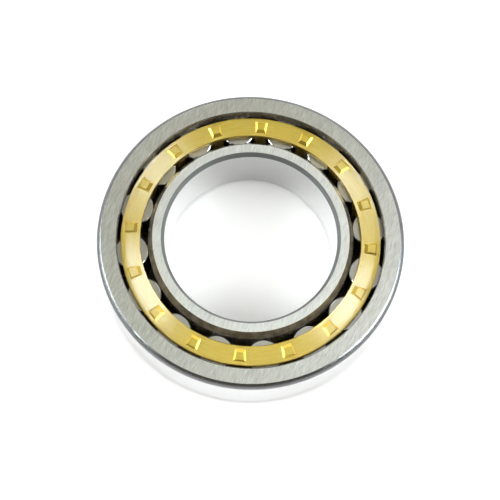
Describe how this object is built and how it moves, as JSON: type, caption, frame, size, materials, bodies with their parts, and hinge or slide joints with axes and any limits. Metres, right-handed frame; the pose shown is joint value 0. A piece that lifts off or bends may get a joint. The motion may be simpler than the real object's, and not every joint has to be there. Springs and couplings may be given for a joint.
{
  "type": "cylindrical roller bearing",
  "caption": "Cylindrical roller bearing: flanged outer ring, plain separable inner ring and steel rollers held in a riveted machined-brass cage.",
  "frame": {"origin": "centre of the bearing: on its axis of rotation, midway between the side faces of the rings", "axes": "+Z along the axis of rotation, out of the side where the cage's rivet heads show; +X through the middle of one crosspiece of the cage"},
  "size_m": [0.16, 0.16, 0.04],
  "materials": {
    "outer_ring_steel": "ground faces with fine straight grinding marks, polished corners and raceway",
    "inner_ring_steel": "fine ground faces, honed bore and raceway",
    "roller_steel": "ground ends with concentric marks, polished sides and edges",
    "cage_brass": "turned, with fine circular tool marks"
  },
  "bodies": {
    "outer_ring": {"outer_ring": "outer_ring_steel"},
    "inner_ring": {"inner_ring": "inner_ring_steel"},
    "cage": {"cage_body": "cage_brass", "cage_cover": "cage_brass"},
    "roller_01": {"roller_01": "roller_steel"},
    "roller_02": {"roller_02": "roller_steel"},
    "roller_03": {"roller_03": "roller_steel"},
    "roller_04": {"roller_04": "roller_steel"},
    "roller_05": {"roller_05": "roller_steel"},
    "roller_06": {"roller_06": "roller_steel"},
    "roller_07": {"roller_07": "roller_steel"},
    "roller_08": {"roller_08": "roller_steel"},
    "roller_09": {"roller_09": "roller_steel"},
    "roller_10": {"roller_10": "roller_steel"},
    "roller_11": {"roller_11": "roller_steel"},
    "roller_12": {"roller_12": "roller_steel"},
    "roller_13": {"roller_13": "roller_steel"},
    "roller_14": {"roller_14": "roller_steel"},
    "roller_15": {"roller_15": "roller_steel"},
    "roller_16": {"roller_16": "roller_steel"}
  },
  "joints": [
    {"name": "inner_ring_spin", "type": "hinge", "parent": "outer_ring", "child": "inner_ring", "pos_m": [0, 0, 0], "axis": [0, 0, 1], "continuous": true},
    {"name": "cage_spin", "type": "hinge", "parent": "outer_ring", "child": "cage", "pos_m": [0, 0, 0], "axis": [0, 0, 1], "continuous": true},
    {"name": "roller_01_spin", "type": "hinge", "parent": "cage", "child": "roller_01", "pos_m": [0.0613, 0.01219, 0], "axis": [0, 0, 1], "continuous": true},
    {"name": "roller_02_spin", "type": "hinge", "parent": "cage", "child": "roller_02", "pos_m": [0.05197, 0.03472, 0], "axis": [0, 0, 1], "continuous": true},
    {"name": "roller_03_spin", "type": "hinge", "parent": "cage", "child": "roller_03", "pos_m": [0.03472, 0.05197, 0], "axis": [0, 0, 1], "continuous": true},
    {"name": "roller_04_spin", "type": "hinge", "parent": "cage", "child": "roller_04", "pos_m": [0.01219, 0.0613, 0], "axis": [0, 0, 1], "continuous": true},
    {"name": "roller_05_spin", "type": "hinge", "parent": "cage", "child": "roller_05", "pos_m": [-0.01219, 0.0613, 0], "axis": [0, 0, 1], "continuous": true},
    {"name": "roller_06_spin", "type": "hinge", "parent": "cage", "child": "roller_06", "pos_m": [-0.03472, 0.05197, 0], "axis": [0, 0, 1], "continuous": true},
    {"name": "roller_07_spin", "type": "hinge", "parent": "cage", "child": "roller_07", "pos_m": [-0.05197, 0.03472, 0], "axis": [0, 0, 1], "continuous": true},
    {"name": "roller_08_spin", "type": "hinge", "parent": "cage", "child": "roller_08", "pos_m": [-0.0613, 0.01219, 0], "axis": [0, 0, 1], "continuous": true},
    {"name": "roller_09_spin", "type": "hinge", "parent": "cage", "child": "roller_09", "pos_m": [-0.0613, -0.01219, 0], "axis": [0, 0, 1], "continuous": true},
    {"name": "roller_10_spin", "type": "hinge", "parent": "cage", "child": "roller_10", "pos_m": [-0.05197, -0.03472, 0], "axis": [0, 0, 1], "continuous": true},
    {"name": "roller_11_spin", "type": "hinge", "parent": "cage", "child": "roller_11", "pos_m": [-0.03472, -0.05197, 0], "axis": [0, 0, 1], "continuous": true},
    {"name": "roller_12_spin", "type": "hinge", "parent": "cage", "child": "roller_12", "pos_m": [-0.01219, -0.0613, 0], "axis": [0, 0, 1], "continuous": true},
    {"name": "roller_13_spin", "type": "hinge", "parent": "cage", "child": "roller_13", "pos_m": [0.01219, -0.0613, 0], "axis": [0, 0, 1], "continuous": true},
    {"name": "roller_14_spin", "type": "hinge", "parent": "cage", "child": "roller_14", "pos_m": [0.03472, -0.05197, 0], "axis": [0, 0, 1], "continuous": true},
    {"name": "roller_15_spin", "type": "hinge", "parent": "cage", "child": "roller_15", "pos_m": [0.05197, -0.03472, 0], "axis": [0, 0, 1], "continuous": true},
    {"name": "roller_16_spin", "type": "hinge", "parent": "cage", "child": "roller_16", "pos_m": [0.0613, -0.01219, 0], "axis": [0, 0, 1], "continuous": true}
  ],
  "couplings": [
    {"joint": "cage_spin", "follows": "inner_ring_spin", "ratio": 0.428},
    {"joint": "roller_01_spin", "follows": "inner_ring_spin", "ratio": -3.4002},
    {"joint": "roller_02_spin", "follows": "inner_ring_spin", "ratio": -3.4002},
    {"joint": "roller_03_spin", "follows": "inner_ring_spin", "ratio": -3.4002},
    {"joint": "roller_04_spin", "follows": "inner_ring_spin", "ratio": -3.4002},
    {"joint": "roller_05_spin", "follows": "inner_ring_spin", "ratio": -3.4002},
    {"joint": "roller_06_spin", "follows": "inner_ring_spin", "ratio": -3.4002},
    {"joint": "roller_07_spin", "follows": "inner_ring_spin", "ratio": -3.4002},
    {"joint": "roller_08_spin", "follows": "inner_ring_spin", "ratio": -3.4002},
    {"joint": "roller_09_spin", "follows": "inner_ring_spin", "ratio": -3.4002},
    {"joint": "roller_10_spin", "follows": "inner_ring_spin", "ratio": -3.4002},
    {"joint": "roller_11_spin", "follows": "inner_ring_spin", "ratio": -3.4002},
    {"joint": "roller_12_spin", "follows": "inner_ring_spin", "ratio": -3.4002},
    {"joint": "roller_13_spin", "follows": "inner_ring_spin", "ratio": -3.4002},
    {"joint": "roller_14_spin", "follows": "inner_ring_spin", "ratio": -3.4002},
    {"joint": "roller_15_spin", "follows": "inner_ring_spin", "ratio": -3.4002},
    {"joint": "roller_16_spin", "follows": "inner_ring_spin", "ratio": -3.4002}
  ]
}
